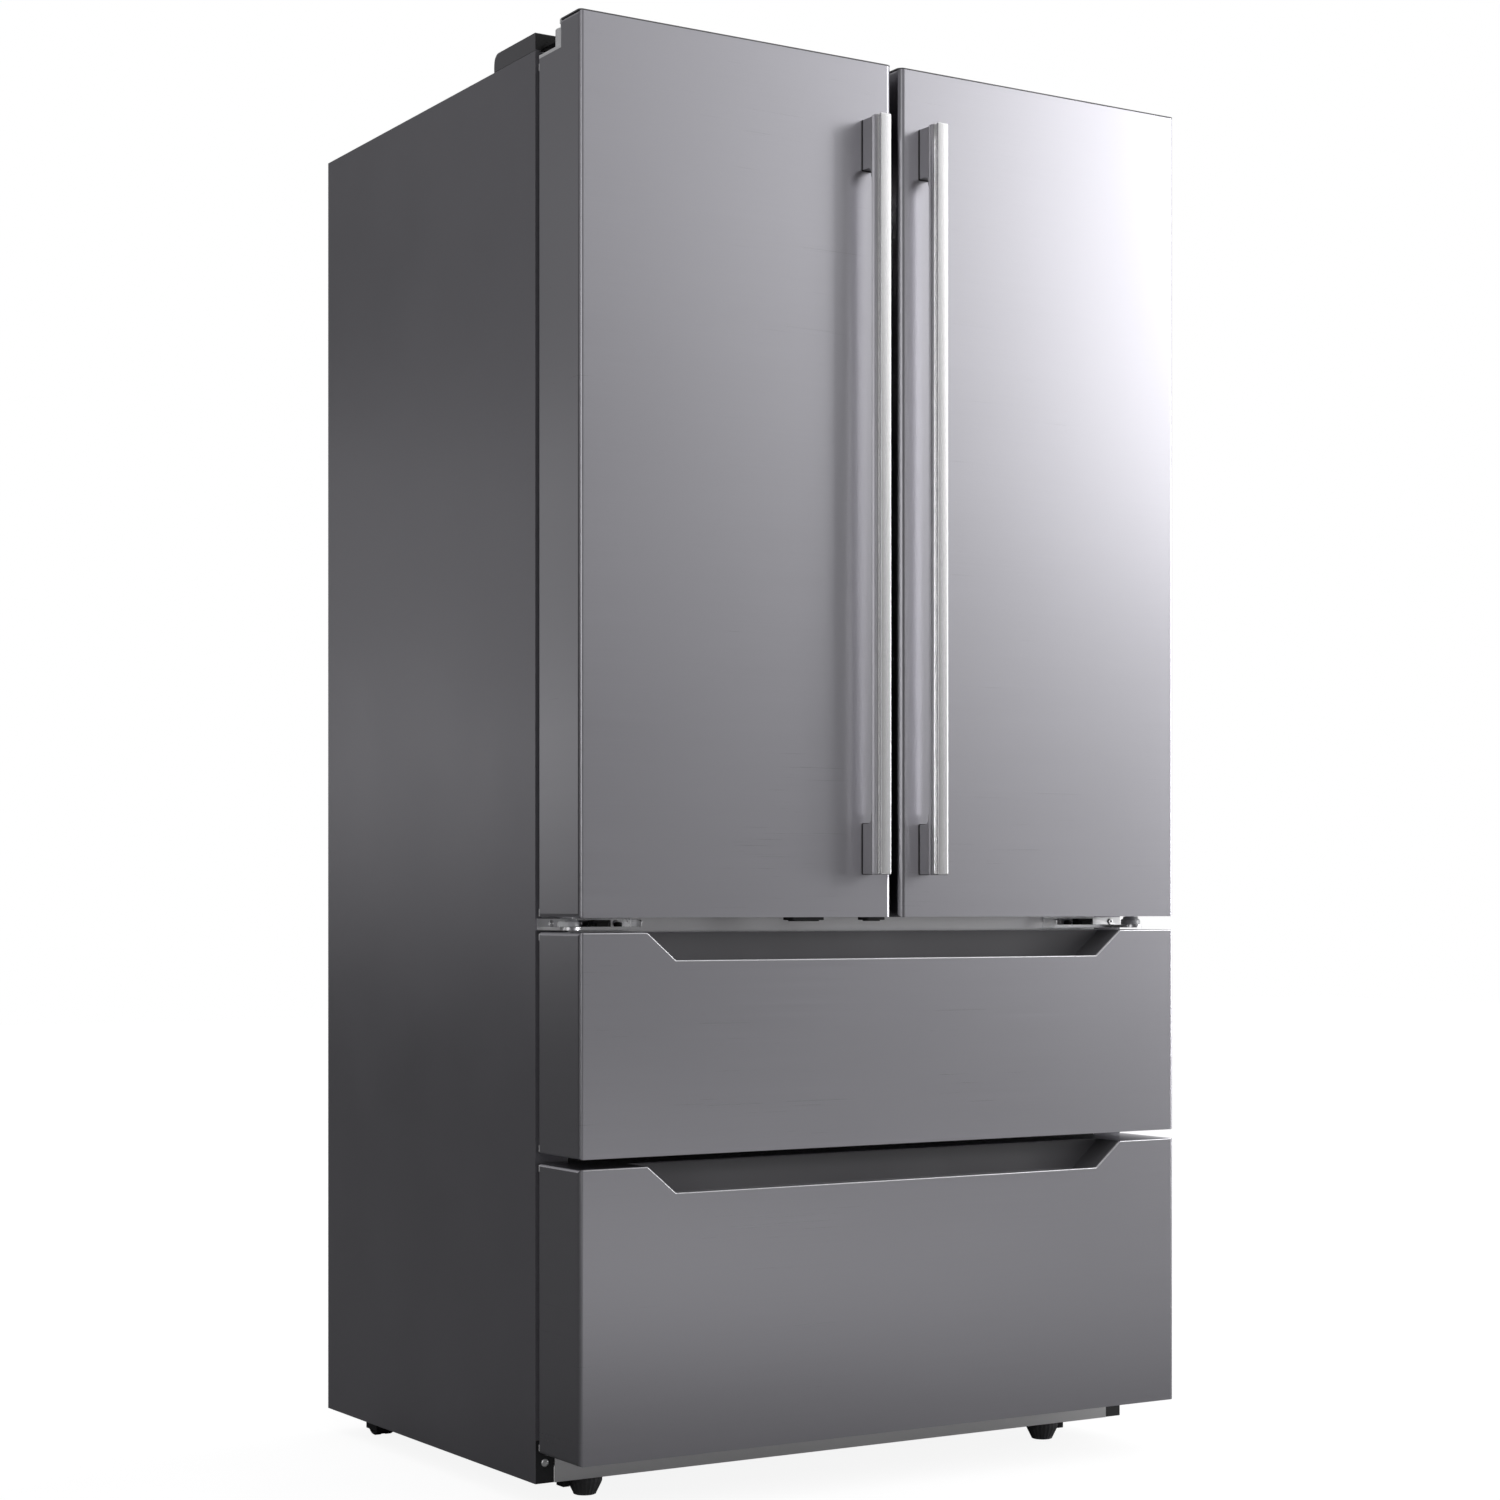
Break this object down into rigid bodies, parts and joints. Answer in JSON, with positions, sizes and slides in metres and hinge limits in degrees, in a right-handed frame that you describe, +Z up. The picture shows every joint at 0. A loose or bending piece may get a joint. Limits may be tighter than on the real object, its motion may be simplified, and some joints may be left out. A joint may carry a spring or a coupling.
{
  "type": "french door refrigerator",
  "caption": "Free-standing refrigerator with two side-hinged upper doors with vertical bar handles above two full-width pull-out drawers with recessed pockets, brushed steel front.",
  "frame": {"origin": "centre of the footprint, handles included, on the floor", "axes": "+Z up, +Y from the doors to the back, +X to the right of someone facing the doors"},
  "size_m": [0.908, 0.784, 1.797],
  "materials": {
    "dark_paint": "satin",
    "galvanised": "satin",
    "foam": "matte",
    "white_plastic": "satin",
    "silver_trim": "satin",
    "black_steel": "satin",
    "stainless": "satin",
    "handle_metal": "satin",
    "hinge_steel": "satin",
    "clear_plastic": "gloss",
    "shelf_glass": "gloss",
    "basket_plastic": "satin",
    "gasket": "matte",
    "dark_plastic": "matte",
    "black_plastic": "matte",
    "grey_plastic": "matte",
    "aluminium": "satin",
    "light": "satin"
  },
  "bodies": {
    "cabinet": {"cabinet_shell": "dark_paint", "back_panel": "galvanised", "insulation": "foam", "fridge_liner": "white_plastic", "freezer_liner": "white_plastic", "divider_trim": "silver_trim", "freezer_rail": "black_steel", "base_frame": "black_steel", "toe_grille": "silver_trim", "top_hinges": "hinge_steel", "hinge_covers": "dark_paint", "middle_hinges": "hinge_steel", "screws": "hinge_steel", "shelf_tracks": "galvanised", "shelf_glasses": "shelf_glass", "shelf_frames": "white_plastic", "air_ducts": "white_plastic", "control_panel": "dark_plastic", "light_lens": "light", "evaporator": "aluminium", "compressor": "black_steel", "condenser": "black_steel", "drain_pan": "black_plastic", "machine_cover": "galvanised", "cord_gland": "black_plastic", "slide_outers": "galvanised"},
    "foot_left": {"leveling_foot_left": "grey_plastic"},
    "foot_right": {"leveling_foot_right": "grey_plastic"},
    "roller_left": {"rear_roller_left": "black_plastic"},
    "roller_right": {"rear_roller_right": "black_plastic"},
    "crisper_drawer_left": {"crisper_left": "clear_plastic"},
    "crisper_drawer_right": {"crisper_right": "clear_plastic"},
    "freezer_fan": {"evaporator_fan": "grey_plastic"},
    "cooling_fan": {"condenser_fan": "black_plastic"},
    "left_door": {"left_door_skin": "stainless", "left_door_panel": "white_plastic", "left_door_gasket": "gasket", "left_door_handle": "handle_metal", "left_door_bins": "clear_plastic"},
    "right_door": {"right_door_skin": "stainless", "right_door_panel": "white_plastic", "right_door_gasket": "gasket", "right_door_handle": "handle_metal", "right_door_bins": "clear_plastic"},
    "flip_mullion": {"mullion": "dark_paint"},
    "dairy_flap": {"dairy_lid": "clear_plastic"},
    "upper_drawer": {"upper_drawer_skin": "stainless", "upper_drawer_core": "white_plastic", "upper_drawer_pocket": "dark_plastic", "upper_drawer_gasket": "gasket", "upper_drawer_basket": "basket_plastic", "upper_drawer_rails": "galvanised"},
    "lower_drawer": {"lower_drawer_skin": "stainless", "lower_drawer_core": "white_plastic", "lower_drawer_pocket": "dark_plastic", "lower_drawer_gasket": "gasket", "lower_drawer_basket": "basket_plastic", "lower_drawer_rails": "galvanised"},
    "upper_slide_mid": {"upper_slide_middles": "galvanised"},
    "lower_slide_mid": {"lower_slide_middles": "galvanised"}
  },
  "joints": [
    {"name": "left_door_hinge", "type": "hinge", "parent": "cabinet", "child": "left_door", "pos_m": [-0.434, -0.284, 1.2], "axis": [0, 0, -1], "range_deg": [0, 110]},
    {"name": "right_door_hinge", "type": "hinge", "parent": "cabinet", "child": "right_door", "pos_m": [0.434, -0.284, 1.2], "axis": [0, 0, 1], "range_deg": [0, 110]},
    {"name": "mullion_flip", "type": "hinge", "parent": "left_door", "child": "flip_mullion", "pos_m": [-0.023, -0.226, 1.2], "axis": [0, 0, -1], "range_deg": [0, 90]},
    {"name": "upper_drawer_slide", "type": "slide", "parent": "cabinet", "child": "upper_drawer", "axis": [0, -1, 0], "range_m": [0, 0.43]},
    {"name": "lower_drawer_slide", "type": "slide", "parent": "cabinet", "child": "lower_drawer", "axis": [0, -1, 0], "range_m": [0, 0.35]},
    {"name": "upper_slide_extend", "type": "slide", "parent": "cabinet", "child": "upper_slide_mid", "axis": [0, -1, 0], "range_m": [0, 0.215]},
    {"name": "lower_slide_extend", "type": "slide", "parent": "cabinet", "child": "lower_slide_mid", "axis": [0, -1, 0], "range_m": [0, 0.175]},
    {"name": "crisper_left_slide", "type": "slide", "parent": "cabinet", "child": "crisper_drawer_left", "axis": [0, -1, 0], "range_m": [0, 0.07]},
    {"name": "crisper_right_slide", "type": "slide", "parent": "cabinet", "child": "crisper_drawer_right", "axis": [0, -1, 0], "range_m": [0, 0.07]},
    {"name": "dairy_lid_hinge", "type": "hinge", "parent": "right_door", "child": "dairy_flap", "pos_m": [0.219, -0.152, 1.668], "axis": [1, 0, 0], "range_deg": [0, 80]},
    {"name": "foot_left_turn", "type": "hinge", "parent": "cabinet", "child": "foot_left", "pos_m": [-0.358, -0.185, 0.03], "axis": [0, 0, 1], "continuous": true},
    {"name": "foot_right_turn", "type": "hinge", "parent": "cabinet", "child": "foot_right", "pos_m": [0.358, -0.185, 0.03], "axis": [0, 0, 1], "continuous": true},
    {"name": "roller_left_roll", "type": "hinge", "parent": "cabinet", "child": "roller_left", "pos_m": [-0.4047, 0.32, 0.021], "axis": [1, 0, 0], "continuous": true},
    {"name": "roller_right_roll", "type": "hinge", "parent": "cabinet", "child": "roller_right", "pos_m": [0.4047, 0.32, 0.021], "axis": [1, 0, 0], "continuous": true},
    {"name": "freezer_fan_spin", "type": "hinge", "parent": "cabinet", "child": "freezer_fan", "pos_m": [0, 0.302, 0.61], "axis": [0, -1, 0], "continuous": true},
    {"name": "cooling_fan_spin", "type": "hinge", "parent": "cabinet", "child": "cooling_fan", "pos_m": [-0.024, 0.29, 0.165], "axis": [1, 0, 0], "continuous": true}
  ],
  "couplings": [
    {"joint": "upper_slide_extend", "follows": "upper_drawer_slide", "ratio": 0.5},
    {"joint": "lower_slide_extend", "follows": "lower_drawer_slide", "ratio": 0.5}
  ]
}
